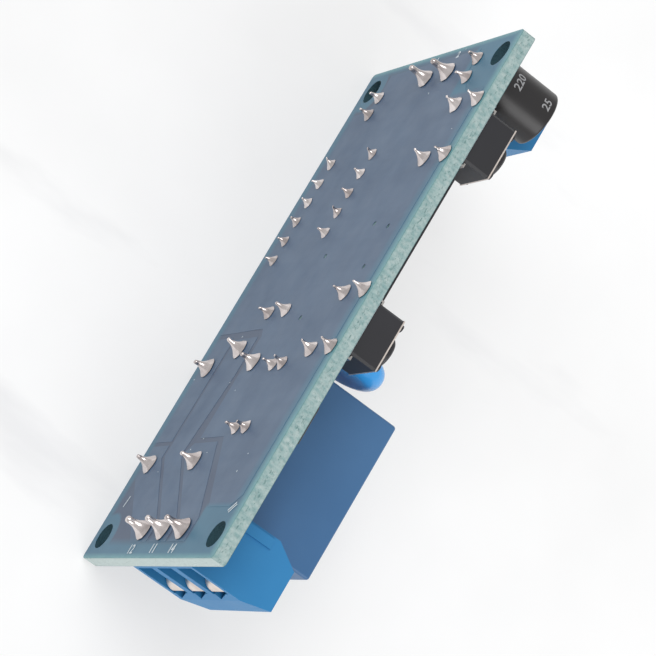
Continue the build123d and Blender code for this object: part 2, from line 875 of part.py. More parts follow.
def ceramic_body():
    body = block(centred(ceramic_x, ceramic_thickness), centred(ceramic_y, ceramic_width),
                 (ceramic_bottom, ceramic_bottom + ceramic_height))
    body = fillet(body.edges(), ceramic_edge_radius)
    for px, py in ceramic_lead_places():
        body -= rod(px, py, ceramic_bottom - cut_over, ceramic_bottom + lead_entry + solder_gap,
                    thin_lead_radius + solder_gap)
    return body


def ceramic_leads():
    return [thin_lead(px, py, ceramic_bottom + lead_entry) for px, py in ceramic_lead_places()]


# Surface parts

transistor_x = relay_end + transistor_from_relay_end


def gull_lead(root, reach, width, middle_y, side, height):
    """A flat lead that leaves a package part-way up, drops and turns out flat on the board.

    root is the x where it leaves and side the way it points."""
    t = surface_lead_thickness
    end = root + side * reach
    outer = root + side * (reach + t) / 2
    inner = outer - side * t
    top = deck + height
    points = [(root, top), (outer, top), (outer, deck + t), (end, deck + t), (end, deck),
              (inner, deck), (inner, top - t), (root, top - t)]
    return extrude_along_y(points, centred(middle_y, width))


def package(x, y, size_x, size_y, height, edge):
    """A moulded body just clear of the board, with a bevel round its top."""
    body = block(centred(x, size_x), centred(y, size_y), (deck + chip_lift, deck + chip_lift + height))
    return chamfer(body.faces().sort_by(Axis.Z)[-1].edges(), edge)


def controller_body():
    return package(controller_x, controller_y, controller_width, controller_length,
                   controller_height, controller_edge)


def controller_leads():
    pins = []
    for side in (-1, 1):
        root = controller_x + side * (controller_width / 2 + solder_gap)
        for i in range(controller_pins):
            y = controller_y + (i - (controller_pins - 1) / 2) * controller_pin_pitch
            pins.append(gull_lead(root, controller_pin_reach, controller_pin_width, y, side,
                                  controller_pin_height))
    return pins


def regulator_body():
    return package(regulator_x, regulator_y, regulator_width, regulator_length,
                   regulator_height, regulator_edge)


def regulator_leads():
    """Three leads on one side and a wide tab on the other."""
    root = regulator_width / 2 + solder_gap
    pins = [gull_lead(regulator_x - root, regulator_lead_reach, regulator_pin_width,
                      regulator_y + i * regulator_pin_pitch, -1, regulator_lead_height)
            for i in (-1, 0, 1)]
    tab = gull_lead(regulator_x + root, regulator_lead_reach, regulator_tab_width, regulator_y, 1,
                    regulator_lead_height)
    return pins + [tab]


def transistor():
    """The small three-leaded driver, body and leads as one moulding."""
    body = package(transistor_x, transistor_y, transistor_width, transistor_length,
                   transistor_height, controller_edge)
    root = transistor_width / 2 - seat_gap
    for side, step in ((-1, -1), (-1, 1), (1, 0)):
        y = transistor_y + step * transistor_pin_pitch / 2
        body += gull_lead(transistor_x + side * root, transistor_lead_reach + seat_gap,
                          transistor_pin_width, y, side, transistor_lead_height)
    return body


def diode_bodies():
    body = package(0, 0, diode_length, diode_width, diode_height, diode_edge)
    return [Pos(x, y, 0) * (Rot(0, 0, turn) * body) for x, y, turn in diode_places]


def diode_terminals():
    """Tabs that leave each end part-way up and fold down flat against it."""
    tabs = []
    t = surface_lead_thickness
    top = deck + diode_tab_height + t
    across = centred(0, diode_tab_width)
    for x, y, turn in diode_places:
        for side in (-1, 1):
            root = side * (diode_length / 2 + solder_gap)
            end = root + side * diode_tab_reach
            tab = block((root, end), across, (top - t, top))
            tab += block((end - side * t, end), across, (deck, top))
            tabs.append(Pos(x, y, 0) * (Rot(0, 0, turn) * tab))
    return tabs


def chips(places):
    """Small ceramic blocks with a metal cap at each end, each cap standing slightly proud."""
    cap_top = deck + chip_height
    waist = centred(0, chip_length - 2 * chip_cap_length)
    chip = block(centred(0, chip_length), centred(0, chip_width - 2 * chip_cap_proud),
                 (deck, cap_top - chip_cap_proud))
    for outer, inner in ((-chip_length / 2, waist[0]), (waist[1], chip_length / 2)):
        chip += block((outer, inner), centred(0, chip_width), (deck, cap_top))
    return [Pos(x, y, 0) * (Rot(0, 0, turn) * chip) for x, y, turn in places]


# Board and solder, last, when every lead is known

def circuit_board():
    board = block((0, board_length), (0, board_width), (-deck, deck))
    board = fillet(board.edges().filter_by(Axis.Z), corner_radius)
    holes = [(x, y, mount_hole_radius) for x in (mount_inset_x, board_length - mount_inset_x)
             for y in (mount_inset_y, board_width - mount_inset_y)]
    holes += [(x, y, radius + lead_hole_gap) for x, y, radius, *_ in leads]
    holes += [(x, y, via_radius) for x, y, _ in vias]
    return board - [rod(x, y, -deck - cut_over, deck + cut_over, radius) for x, y, radius in holes]


def solder_joint(x, y, radius, foot, height):
    """A hollow-sided cone of solder round a lead, wide on the board and thin up the lead."""
    bore = radius + solder_gap
    collar = radius + solder_collar
    length = hypot(foot - collar, height)
    sag = solder_hollow * length
    middle = ((foot + collar) / 2 - sag * height / length, -height / 2 + sag * (foot - collar) / length)
    outline = Polyline((collar, -height), (bore, -height), (bore, 0), (foot, 0))
    outline += ThreePointArc((foot, 0), middle, (collar, -height))
    return Pos(x, y, solder_face) * revolve(Plane.XZ * make_face(outline), axis=Axis.Z)


def main():
    os.makedirs("parts", exist_ok=True)
    save("relay_cover", relay_cover())
    save("relay_base", relay_base())
    save("relay_pins", *relay_pins())
    save("relay_bobbin", relay_bobbin())
    save("relay_winding", relay_winding())
    save("relay_core", relay_core())
    save("relay_yoke", relay_yoke())
    save("relay_armature", relay_armature())
    save("relay_contact_blade", relay_blade())

    terminals = [
        ("terminal_3p", terminal_end_inset, 1, terminal_3p_y, 3,
         terminal_3p_foot_solder, terminal_3p_solder_height),
        ("terminal_2p", board_length - terminal_end_inset, -1, terminal_2p_y, 2,
         terminal_2p_foot_solder, terminal_2p_solder_height)]
    for name, front, side, middle_y, count, *solder in terminals:
        save(f"{name}_housing", terminal_housing(front, side, middle_y, count))
        save(f"{name}_contacts", *terminal_contacts(front, side, middle_y, count, *solder))
        for number, way in enumerate(terminal_ways(middle_y, count), 1):
            save(f"{name}_screw_{number}", clamp_screw(front, side, way))
            save(f"{name}_guard_{number}", wire_guard(front, side, way))

    save("display_shell", display_shell())
    save("display_segments", *display_digits())
    save("display_back", display_back())
    save("display_pins", *display_pins())

    for number, middle_x in enumerate(switch_xs, 1):
        save(f"switch_{number}_base", switch_base(middle_x))
        save(f"switch_{number}_plate", switch_plate(middle_x))
        save(f"switch_{number}_button", switch_button(middle_x))
        save(f"switch_{number}_dome", switch_dome(middle_x))
        save(f"switch_{number}_legs", *switch_legs(middle_x))

    save("capacitor_can", capacitor_can())
    save("capacitor_sleeve", capacitor_sleeve())
    save("capacitor_bung", capacitor_bung())
    save("capacitor_leads", *capacitor_leads())
    save("disc_body", disc_body())
    save("disc_leads", *disc_leads())
    save("lamp_power_lens", lamp_lens(power_lamp_x, power_lamp_y, power_lamp_lift, True))
    save("lamp_relay_lens", lamp_lens(relay_lamp_x, relay_lamp_y, relay_lamp_lift, False))
    save("lamp_leads", *lamp_leads())
    save("ceramic_body", ceramic_body())
    save("ceramic_leads", *ceramic_leads())

    save("controller_body", controller_body())
    save("controller_leads", *controller_leads())
    save("regulator_body", regulator_body())
    save("regulator_leads", *regulator_leads())
    save("driver_transistor", transistor())
    save("diode_bodies", *diode_bodies())
    save("diode_terminals", *diode_terminals())
    save("chip_resistors", *chips(resistor_places))
    save("chip_capacitors", *chips(capacitor_places))

    save("circuit_board", circuit_board())
    save("solder_joints", *[solder_joint(*place) for place in leads])


main()
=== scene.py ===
"""Looks of the timer relay module: it stands on the long edge beside the relay.

Lengths are in metres. Places along and across the board, and sizes of print, are in millimetres.
+X points to the 3-way terminal's end, +Y out of the component face, +Z up across the board.
"""
import json
import math
import random

import bpy
from mathutils import Matrix, Vector


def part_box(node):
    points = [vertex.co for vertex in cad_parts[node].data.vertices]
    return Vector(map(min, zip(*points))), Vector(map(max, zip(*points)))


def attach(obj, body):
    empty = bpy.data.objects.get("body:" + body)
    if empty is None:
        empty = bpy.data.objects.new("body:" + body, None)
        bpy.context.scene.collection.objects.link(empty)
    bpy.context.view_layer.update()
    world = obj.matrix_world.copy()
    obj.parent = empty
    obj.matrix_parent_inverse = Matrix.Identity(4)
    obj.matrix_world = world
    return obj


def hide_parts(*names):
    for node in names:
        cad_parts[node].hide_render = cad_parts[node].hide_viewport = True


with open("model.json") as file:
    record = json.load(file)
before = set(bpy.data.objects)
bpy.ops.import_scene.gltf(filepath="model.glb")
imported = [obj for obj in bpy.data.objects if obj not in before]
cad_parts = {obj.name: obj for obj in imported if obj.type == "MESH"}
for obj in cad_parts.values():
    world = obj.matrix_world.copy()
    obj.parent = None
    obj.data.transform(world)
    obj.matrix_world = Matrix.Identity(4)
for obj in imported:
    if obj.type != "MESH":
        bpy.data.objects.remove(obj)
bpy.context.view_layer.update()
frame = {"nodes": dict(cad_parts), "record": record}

MM = 0.001
MODULE = "module"
COMPONENT_SIDE, SOLDER_SIDE = 1, -1
nodes = frame["nodes"]
slots = {part["node"]: part["material_slot"] for part in frame["record"]["subparts"]}
random.seed(7)


def srgb(red, green, blue):
    """A display colour from 0 to 255, as the linear colour that renders as it."""
    parts = [c / 255 for c in (red, green, blue)]
    return tuple(c / 12.92 if c < 0.04045 else ((c + 0.055) / 1.055) ** 2.4 for c in parts) + (1.0,)


# Shader building

class Value:
    """A node's output. Arithmetic on it adds Math nodes."""

    def __init__(self, finish, output):
        self.finish = finish
        self.output = output

    def math(self, operation, *operands):
        return self.finish.node(
            "ShaderNodeMath", {"operation": operation}, dict(enumerate(operands)))

    def __add__(self, other):
        return self.math("ADD", self, other)

    def __radd__(self, other):
        return self.math("ADD", other, self)

    def __sub__(self, other):
        return self.math("SUBTRACT", self, other)

    def __rsub__(self, other):
        return self.math("SUBTRACT", other, self)

    def __mul__(self, other):
        return self.math("MULTIPLY", self, other)

    def __truediv__(self, other):
        return self.math("DIVIDE", self, other)

    def __pow__(self, other):
        return self.math("POWER", self, other)

    def __abs__(self):
        return self.math("ABSOLUTE", self)

    def at_least(self, other):
        return self.math("MAXIMUM", self, other)

    def clamped(self):
        return self.math("MINIMUM", self, 1.0).at_least(0.0)


class Finish:
    """One procedural material. Constants go straight to the surface's own sockets."""

    def __init__(self, name, **constants):
        self.material = bpy.data.materials.new(name)
        self.material.use_nodes = True
        self.tree = self.material.node_tree
        self.surface = self.tree.nodes["Principled BSDF"]
        for key, value in constants.items():
            self.surface.inputs[key.replace("_", " ")].default_value = value
        self.place = self.node("ShaderNodeTexCoord", out="Object")

    def node(self, kind, settings=None, inputs=None, out=0):
        """Any node: its settings first, then the values or links of its sockets."""
        added = self.tree.nodes.new(kind)
        for key, value in (settings or {}).items():
            setattr(added, key, value)
        for key, value in (inputs or {}).items():
            if isinstance(value, Value):
                self.tree.links.new(value.output, added.inputs[key])
            else:
                added.inputs[key].default_value = value
        return Value(self, added.outputs[out])

    def axis(self, letter):
        return self.node("ShaderNodeSeparateXYZ", inputs={0: self.place}, out=letter)

    def stretched(self, *scale, turn=0.0):
        """The place, scaled each way and turned, for a noise that runs one way."""
        return self.node("ShaderNodeMapping", inputs={
            "Vector": self.place, "Rotation": (0, 0, turn), "Scale": scale})

    def noise(self, scale, detail, place=None):
        return self.node("ShaderNodeTexNoise", inputs={
            "Vector": place or self.place, "Scale": scale, "Detail": detail}, out="Fac")

    def spread(self, factor, low, high):
        """A factor stretched so that low becomes 0 and high becomes 1, kept between them."""
        return self.node("ShaderNodeMapRange", {"clamp": True}, {
            "Value": factor, "From Min": low, "From Max": high})

    def mix(self, factor, first, second):
        return self.node("ShaderNodeMix", {"data_type": "RGBA"}, {
            0: factor, 6: first, 7: second}, out=2)

    def set(self, key, value):
        self.tree.links.new(value.output, self.surface.inputs[key])

    def wander(self, noise, roughness, swing):
        """A roughness that wanders with a noise round its middle."""
        self.set("Roughness", noise * swing + (roughness - swing / 2))

    def bump(self, height, distance, strength):
        self.set("Normal", self.node("ShaderNodeBump", inputs={
            "Height": height, "Distance": distance, "Strength": strength}, out="Normal"))


# Finishes

# Moulded, dipped and printed ones: two tones from 0 to 255, roughness, and shine if not the usual
MOULDED = {
    "board_print": ((196, 208, 214), (214, 222, 226), 0.6),
    "sleeve_print": ((150, 150, 152), (166, 166, 168), 0.5),
    "relay_blue": ((58, 102, 146), (66, 110, 154), 0.42),
    "terminal_blue": ((44, 119, 172), (54, 128, 180), 0.5, 0.25),
    "bobbin_white": ((222, 220, 210), (208, 205, 194), 0.5),
    "black_plastic": ((32, 32, 36), (40, 40, 45), 0.45),
    "display_black": ((34, 34, 37), (42, 42, 45), 0.4),
    "segment_white": ((206, 204, 198), (222, 220, 214), 0.35),
    "potting": ((206, 200, 182), (188, 182, 164), 0.5),
    "sleeve_black": ((34, 32, 33), (41, 39, 40), 0.35),
    "bung_rubber": ((38, 37, 37), (48, 47, 46), 0.75),
    # Painted light: the disc's blue is lighter than its own, to lift it out of shade
    "dipped_blue": ((58, 158, 232), (70, 170, 238), 0.22),
    "dipped_amber": ((196, 122, 40), (178, 104, 32), 0.3),
    "lamp_red": ((176, 30, 34), (196, 44, 44), 0.2),
    "lamp_green": ((54, 150, 72), (70, 168, 88), 0.2),
    "chip_ceramic": ((38, 38, 42), (50, 50, 54), 0.55),
    "capacitor_ceramic": ((176, 140, 100), (160, 126, 90), 0.5)}

# Metal ones: two tones, roughness, and the grain's scale and depth if not the usual
METALS = {
    "solder": ((232, 224, 222), (186, 176, 174), 0.22, 1300.0, 0.06 * MM),
    # Painted light: a plating lighter than the metal's own, for parts that sit in shade
    "shade_lifted_plate": ((240, 230, 222), (222, 210, 202), 0.42),
    "steel": ((205, 205, 208), (176, 176, 180), 0.3),
    "tin_plate": ((214, 210, 206), (190, 186, 182), 0.28),
    "copper_wire": ((196, 112, 70), (160, 84, 52), 0.35),
    "contact_brass": ((206, 176, 112), (184, 150, 88), 0.35),
    "aluminium_can": ((200, 202, 206), (184, 186, 190), 0.32)}

# Nodes whose names hold one of these get a lighter plating than their slot: painted light that
# lifts them out of shade
BRIGHT = ("_guard_", "_plate", "_legs")


def moulded(name, tone, shade, roughness, shine=0.5):
    """Moulded plastic: faint flow tones, uneven gloss and a fine grain."""
    made = Finish(name, Specular_IOR_Level=shine)
    flow = made.spread(made.noise(90.0, 3.0), 0.3, 0.7)
    made.set("Base Color", made.mix(flow, srgb(*tone), srgb(*shade)))
    made.wander(made.noise(260.0, 2.0), roughness, 0.12)
    made.bump(made.noise(1800.0, 2.0), 0.01 * MM, 0.5)
    return made.material


def metal(name, tone, shade, roughness, grain=900.0, depth=0.02 * MM):
    """Plated or drawn metal with cloudy tones and fine scratches."""
    made = Finish(name, Metallic=1.0)
    cloud = made.spread(made.noise(500.0, 4.0), 0.35, 0.65)
    made.set("Base Color", made.mix(cloud, srgb(*tone), srgb(*shade)))
    made.wander(made.noise(1400.0, 3.0), roughness, 0.2)
    made.bump(made.noise(grain, 3.0), depth, 0.4)
    return made.material


# The board's finish. Places are in millimetres: along from its middle, up from its lower edge,
# out from half-way through the sheet. A pair says where a tone is still 0 and where it is 1.

# The four mounting holes: how far out from the middle, and the middle's height
HOLE_REACH_X, HOLE_REACH_Z, HOLE_MIDDLE_Z = 28.95, 14.75, 17.25
# Copper lies inside these borders, and not round the holes or in the two upper corners
COPPER_UP = ((0.9, 1.8), (33.4, 31.4))
COPPER_ALONG = ((30.2, 29.2), (-31.2, -30.4))
COPPER_FROM_HOLE = (2.6, 3.0)
CORNER_UP, CORNER_ALONG = (25.2, 25.8), ((25.2, 25.8), (-24.2, -24.8))
# Where the face begins and where the mask pales towards the rim
ON_FACE = (0.765, 0.785)
RIM_UP, RIM_ALONG = (33.0, 34.5), (31.0, 31.7)
# Round the edge: the sawn end, the half beside the solder face, the flecks' band, a hole's wall
SAWN_END = (31.62, 31.64)
SOLDER_HALF = (-0.5, -0.8)
FLECK_BAND = (0.5, 0.2)
HOLE_WALL = (1.6, 1.55)

# Tones: pairs that a cloud mixes, then single ones
BARE = (srgb(45, 99, 126), srgb(56, 110, 136))
BACKED = (srgb(50, 70, 98), srgb(62, 82, 108))
COATED = (srgb(60, 86, 115), srgb(76, 100, 127))
SAWN = (srgb(130, 160, 160), srgb(170, 187, 185))
RIM_TONE = srgb(112, 166, 168)
END_TONE = srgb(190, 204, 202)
SOLDER_HALF_TONE = srgb(110, 158, 158)
FLECK_TONE = srgb(84, 120, 118)
# Painted shade: the holes' walls are drawn dark as if in shadow, not in the laminate's own colour
HOLE_SHADE_TONE = srgb(34, 68, 78)


def over_copper(made, along, up):
    """1 where copper backs the mask, softly 0 at its borders; and the distance from a hole."""
    away_x = abs(along) - HOLE_REACH_X
    away_z = abs(up - HOLE_MIDDLE_Z) - HOLE_REACH_Z
    from_hole = (away_x * away_x + away_z * away_z) ** 0.5
    inside = made.spread(from_hole, *COPPER_FROM_HOLE)
    for way, borders in ((up, COPPER_UP), (along, COPPER_ALONG)):
        for border in borders:
            inside = inside * made.spread(way, *border)
    corner = made.spread(up, *CORNER_UP) * sum(made.spread(along, *end) for end in CORNER_ALONG)
    return inside * (1.0 - corner.clamped()), from_hole


def board_finish():
    """Mask on both faces, dark over copper; pale rough glass fibre at the edge; hole walls painted
    dark as shade.
    """
    made = Finish("board_laminate", IOR=1.5)
    along, out, up = (made.axis(letter) / MM for letter in "XYZ")
    from_middle, depth = abs(along), abs(out)
    on_face = made.spread(depth, *ON_FACE)
    inside, from_hole = over_copper(made, along, up)
    cloud = made.spread(made.noise(140.0, 4.0), 0.3, 0.7)
    mask = made.mix(inside, made.mix(cloud, *BARE), made.mix(cloud, *BACKED))
    rim = made.spread(up, *RIM_UP).at_least(made.spread(from_middle, *RIM_ALONG))
    mask = made.mix(rim * (made.noise(700.0, 3.0) * 0.5 + 0.5), mask, RIM_TONE)
    fibre = made.noise(2600.0, 4.0, made.stretched(1.0, 0.6, 1.0))
    weave = made.noise(6400.0, 1.0, made.stretched(0.4, 1.0, 0.5, turn=math.radians(50)))
    sawn_end = made.spread(from_middle, *SAWN_END)
    pale = made.mix(sawn_end, made.mix(made.spread(fibre, 0.3, 0.7), *SAWN), END_TONE)
    pale = made.mix(made.spread(out, *SOLDER_HALF) * 0.5, pale, SOLDER_HALF_TONE)
    fleck = made.spread(weave, 0.6, 0.68) * made.spread(depth, *FLECK_BAND) * (1.0 - sawn_end * 0.8)
    edge = made.mix(fleck * 0.65, pale, FLECK_TONE)
    # Painted shade: the edge darkens inside each hole
    edge = made.mix(made.spread(from_hole, *HOLE_WALL), edge, HOLE_SHADE_TONE)
    made.set("Base Color", made.mix(on_face, edge, mask))
    made.set("Roughness", 0.85 - on_face * 0.45)
    made.bump((fibre + weave) * (1.0 - on_face), 0.18 * MM, 0.9)
    return made.material


def coated_finish():
    """Mask over copper: the same coat, darker and bluer, faintly streaked by the metal below."""
    made = Finish("coated_copper", IOR=1.5)
    inside, _ = over_copper(made, made.axis("X") / MM, made.axis("Z") / MM)
    streak = made.noise(900.0, 2.0, made.stretched(1.0, 1.0, 0.12))
    cloud = made.spread(made.noise(170.0, 5.0) + streak * 0.3, 0.45, 0.85)
    made.set("Base Color", made.mix(inside, BARE[1], made.mix(cloud, *COATED)))
    made.wander(made.noise(420.0, 3.0), 0.42, 0.16)
    made.bump(made.noise(1500.0, 3.0), 0.01 * MM, 0.4)
    return made.material


def make_finishes():
    """Every finish, by its material slot or by a name of its own."""
    finishes = {"fibreglass": board_finish(), "coated_copper": coated_finish()}
    finishes.update({name: moulded(name, *values) for name, values in MOULDED.items()})
    finishes.update({name: metal(name, *values) for name, values in METALS.items()})
    return finishes


def dress_nodes(finishes):
    """Give each carried-over solid the finish of its material slot."""
    for name, slot in slots.items():
        # Guards, plates and legs take the lighter plating instead of their slot's: painted light
        # against their shade
        finish = "shade_lifted_plate" if any(mark in name for mark in BRIGHT) else slot
        materials = nodes[name].data.materials
        materials.clear()
        materials.append(finishes[finish])


# Places on the board: along from the 3-way terminal's end, across from the lower edge

board_low, board_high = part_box("circuit_board")
face = board_high.y


def on_board(along, across):
    """A point half-way through the sheet, from millimetres along and across."""
    return Vector((board_high.x - along * MM, 0, across * MM))


def heading(angle):
    """The unit vector in the board's plane at an angle from +X towards +Z."""
    return Vector((math.cos(angle), 0, math.sin(angle)))


# Mesh modelling

WELD = 0.0005 * MM


def deselect():
    if bpy.context.mode != "OBJECT":
        bpy.ops.object.mode_set(mode="OBJECT")
    bpy.ops.object.select_all(action="DESELECT")


def pick(piece):
    deselect()
    piece.select_set(True)
    bpy.context.view_layer.objects.active = piece


def edit_whole(piece):
    """Open a piece in edit mode with all of it selected."""
    pick(piece)
    bpy.ops.object.mode_set(mode="EDIT")
    bpy.ops.mesh.select_all(action="SELECT")


def close_outward():
    """Turn every face of the piece in edit mode outwards, and leave edit mode."""
    bpy.ops.mesh.select_all(action="SELECT")
    bpy.ops.mesh.normals_make_consistent(inside=False)
    bpy.ops.object.mode_set(mode="OBJECT")


def select_edges(piece, wanted):
    """Select in edit mode the edges of which both ends are at a wanted place."""
    bpy.ops.object.mode_set(mode="EDIT")
    bpy.context.tool_settings.mesh_select_mode = (False, True, False)
    bpy.ops.mesh.select_all(action="DESELECT")
    bpy.ops.object.mode_set(mode="OBJECT")
    for edge in piece.data.edges:
        edge.select = all(wanted(piece.data.vertices[end].co) for end in edge.vertices)
    bpy.ops.object.mode_set(mode="EDIT")


def unit_cube():
    """A new cube about the origin, with corners at 0.5 each way."""
    deselect()
    bpy.ops.mesh.primitive_cube_add(size=1.0)
    return bpy.context.object


def copied(source):
    """A copy of an object with a mesh of its own."""
    piece = source.copy()
    piece.data = source.data.copy()
    bpy.context.scene.collection.objects.link(piece)
    return piece


def joined(pieces):
    """One object from several."""
    deselect()
    for piece in pieces:
        piece.select_set(True)
    bpy.context.view_layer.objects.active = pieces[0]
    bpy.ops.object.join()
    return bpy.context.object


def made_mesh(piece):
    """Turn a curve or text into a closed mesh."""
    pick(piece)
    bpy.ops.object.convert(target="MESH")
    edit_whole(piece)
    bpy.ops.mesh.remove_doubles(threshold=WELD)
    close_outward()
    return piece


def settle(piece, name, material, angle=30.0):
    """Name a finished piece, put its place into its mesh, shade it, dress it and let it ride."""
    pick(piece)
    bpy.ops.object.transform_apply(location=True, rotation=True, scale=True)
    bpy.ops.object.shade_smooth_by_angle(angle=math.radians(angle))
    piece.name = name
    piece.data.materials.clear()
    piece.data.materials.append(material)
    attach(piece, MODULE)


def settle_for(piece, name, node, finishes, angle=40.0):
    """Settle a piece that takes the place of a node, with that node's slot and finish."""
    settle(piece, name, finishes[slots[node]], angle)
    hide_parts(node)


# Outlines on the board, as lists of places along and across

def ring(along, across, radius, sides):
    """A round outline about a place."""
    turns = [math.tau * step / sides for step in range(sides)]
    return [(along + radius * math.cos(turn), across + radius * math.sin(turn)) for turn in turns]


def rectangle(along, across):
    """The outline between two values each way."""
    (near, far), (low, high) = along, across
    return [(near, low), (far, low), (far, high), (near, high)]


def frame_outlines(along, across, width):
    """The outer and the inner outline of a printed frame."""
    inner = [(low + width, high - width) for low, high in (along, across)]
    return [rectangle(along, across), rectangle(*inner)]


def path_outline(points, width):
    """The outline of a line of even width through places on the board, mitred at its bends."""
    points = [Vector(point) for point in points]
    ways = [(after - before).normalized() for before, after in zip(points, points[1:])]
    sides = []
    for index, point in enumerate(points):
        first, second = ways[max(index - 1, 0)], ways[min(index, len(ways) - 1)]
        mitre = (first + second).normalized()
        reach = width / 2 / max(mitre.dot(first), 0.5)
        sides.append(Vector((-mitre.y, mitre.x)) * reach)
    return ([tuple(point + side) for point, side in zip(points, sides)]
            + [tuple(point - side) for point, side in reversed(list(zip(points, sides)))])


# Thin layers: copper below the mask, tinned pads and print

COPPER = 0.02 * MM
INK = 0.02 * MM
PAD = 0.05 * MM
# How much bolder the figures are drawn, as a share of their size
BOLDER = 0.02
# Turns a flat curve's own Y up across the board
UPRIGHT = (math.pi / 2, 0, 0)


def sheet(outlines, thickness, front, lift=0.0):
    """A thin layer over a side of the board. An outline inside another one is a hole."""
    deselect()
    bpy.ops.object.add(type="CURVE", rotation=UPRIGHT,
                       location=(0, front * (face + lift + thickness / 2), 0))
    piece = bpy.context.object
    piece.data.dimensions = "2D"
    piece.data.fill_mode = "BOTH"
    piece.data.extrude = thickness / 2
    for outline in outlines:
        spline = piece.data.splines.new("POLY")
        spline.points.add(len(outline) - 1)
        spline.use_cyclic_u = True
        for point, (along, across) in zip(spline.points, outline):
            place = on_board(along, across)
            point.co = (place.x, place.z, 0, 1)
    return made_mesh(piece)


def figures(text, size, offset):
    """Plain figures as a thin mesh, flat on the floor and centred on the origin."""
    deselect()
    bpy.ops.object.text_add()
    piece = bpy.context.object
    piece.data.body = text
    piece.data.size = size * MM
    piece.data.offset = offset
    piece.data.extrude = INK / 2
    piece.data.align_x = "CENTER"
    piece.data.align_y = "CENTER"
    return made_mesh(piece)


def number(text, along, across, size, front, turn=0.0, lift=0.0):
    """Plain figures printed on a side of the board, centred on a place.

    On the solder side they run up across the board; on the component side they stand upright.
    """
    piece = figures(text, size, BOLDER * size * MM)
    up, far = Vector((0, 0, 1)), Vector((-1, 0, 0))
    x_way, y_way = (up, far) if front == SOLDER_SIDE else (far, up)
    out_way = Vector((0, front, 0))
    turned = Matrix.Rotation(turn, 3, "Z")
    place = on_board(along, across) + out_way * (face + lift + INK / 2)
    for vertex in piece.data.vertices:
        local = turned @ vertex.co
        vertex.co = place + x_way * local.x + y_way * local.y + out_way * local.z
    return piece


# The carried-over solids' own places

# Corners that are closer than this are one
SAME_CORNER = 0.001 * MM


class Extent:
    """A solid's reach in board millimetres: along, across and out of the component face."""

    def __init__(self, points):
        xs, ys, zs = zip(*points)
        self.along = ((board_high.x - max(xs)) / MM, (board_high.x - min(xs)) / MM)
        self.across = (min(zs) / MM, max(zs) / MM)
        self.top = (max(ys) - face) / MM
        self.middle = (sum(self.along) / 2, sum(self.across) / 2)
        self.upright = self.across[1] - self.across[0] > self.along[1] - self.along[0]

    def grown(self, by):
        """Its two values along and its two across, moved outwards."""
        return [(low - by, high + by) for low, high in (self.along, self.across)]


def solids(node):
    """The extent of each solid of a node, found from the triangles that share corners."""
    mesh = nodes[node].data
    parent = list(range(len(mesh.polygons)))

    def root(index):
        while parent[index] != index:
            parent[index] = parent[parent[index]]
            index = parent[index]
        return index

    first = {}
    for polygon in mesh.polygons:
        for corner in polygon.vertices:
            key = tuple(round(value / SAME_CORNER) for value in mesh.vertices[corner].co)
            parent[root(polygon.index)] = root(first.setdefault(key, polygon.index))
    groups = {}
    for polygon in mesh.polygons:
        corners = (mesh.vertices[corner].co for corner in polygon.vertices)
        groups.setdefault(root(polygon.index), []).extend(corners)
    return sorted((Extent(group) for group in groups.values()), key=lambda extent: extent.middle)


# Solder side: copper below the mask, and print

POUR = [(28.2, 1.2), (57.4, 1.2), (57.4, 4.4), (58.6, 5.6), (62.2, 5.6), (62.2, 26.4), (58.8, 26.4),
        (56.2, 29.0), (56.2, 33.0), (7.2, 33.0), (5.9, 31.4), (5.9, 26.2), (14.5, 19.3),
        (14.5, 13.2), (27.2, 13.2), (28.2, 12.4)]
COIL_PATCH = [(14.4, 1.2), (27.6, 1.2), (27.6, 5.4), (26.8, 5.9), (14.4, 5.7)]
CONTACT_BANDS = [
    [(1.9, 10.9), (1.9, 15.2), (3.9, 15.3), (12.3, 5.7), (13.9, 5.7), (13.9, 1.3), (10.2, 1.3)],
    [(1.9, 15.8), (1.9, 20.3), (4.0, 20.4), (12.7, 10.7), (22.4, 12.3), (27.2, 12.3), (27.2, 6.5),
     (13.9, 6.3), (12.6, 6.2), (4.2, 15.8)],
    [(1.9, 20.9), (1.9, 25.2), (4.7, 25.3), (13.9, 18.4), (13.9, 12.5), (12.9, 11.3), (4.3, 20.9)]]
VIAS = [(40.1, 25.6), (39.35, 29.5), (36.9, 17.6), (34.4, 29.4), (28.9, 20.8)]
VIA_RADIUS = 0.3
# Figures: text, place along and across, size
SOLDER_SIDE_FIGURES = [("12", 0.98, 12.5, 1.5), ("11", 1.05, 18.3, 1.5), ("14", 1.03, 23.2, 1.5),
                       ("1", 62.3, 16.3, 1.2), ("2", 62.3, 21.2, 1.2)]
# Short strokes beside the two holes at the 3-way terminal's end
TICKS = [((6.3, 3.1), (7.6, 3.4)), ((5.4, 31.6), (6.3, 32.7)), ((5.2, 32.0), (6.1, 33.0))]
TICK_WIDTH = 0.16
# Pale crumbs on the mask: where each one starts, and the shared bounds of their length and width
SPECKS = [(22.49, 1.32), (21.5, 12.22), (14.37, 14.23), (13.12, 12.33), (12.54, 17.37),
          (12.08, 28.28), (10.14, 28.03), (10.61, 7.03), (27.43, 7.88), (20.39, 14.91),
          (62.91, 22.34), (62.13, 21.34), (61.86, 24.3), (57.48, 19.31), (51.17, 31.1)]
SPECK_LENGTH, SPECK_WIDTH = (0.08, 0.22), (0.07, 0.14)


def add_copper(finishes):
    """The pour with its via holes, the coil's patch and the wide contact tracks."""
    holes = [ring(along, across, VIA_RADIUS, 12) for along, across in VIAS]
    layers = [[POUR] + holes, [COIL_PATCH]] + [[band] for band in CONTACT_BANDS]
    piece = joined([sheet(outlines, COPPER, SOLDER_SIDE) for outlines in layers])
    settle(piece, "coated_copper", finishes["coated_copper"])


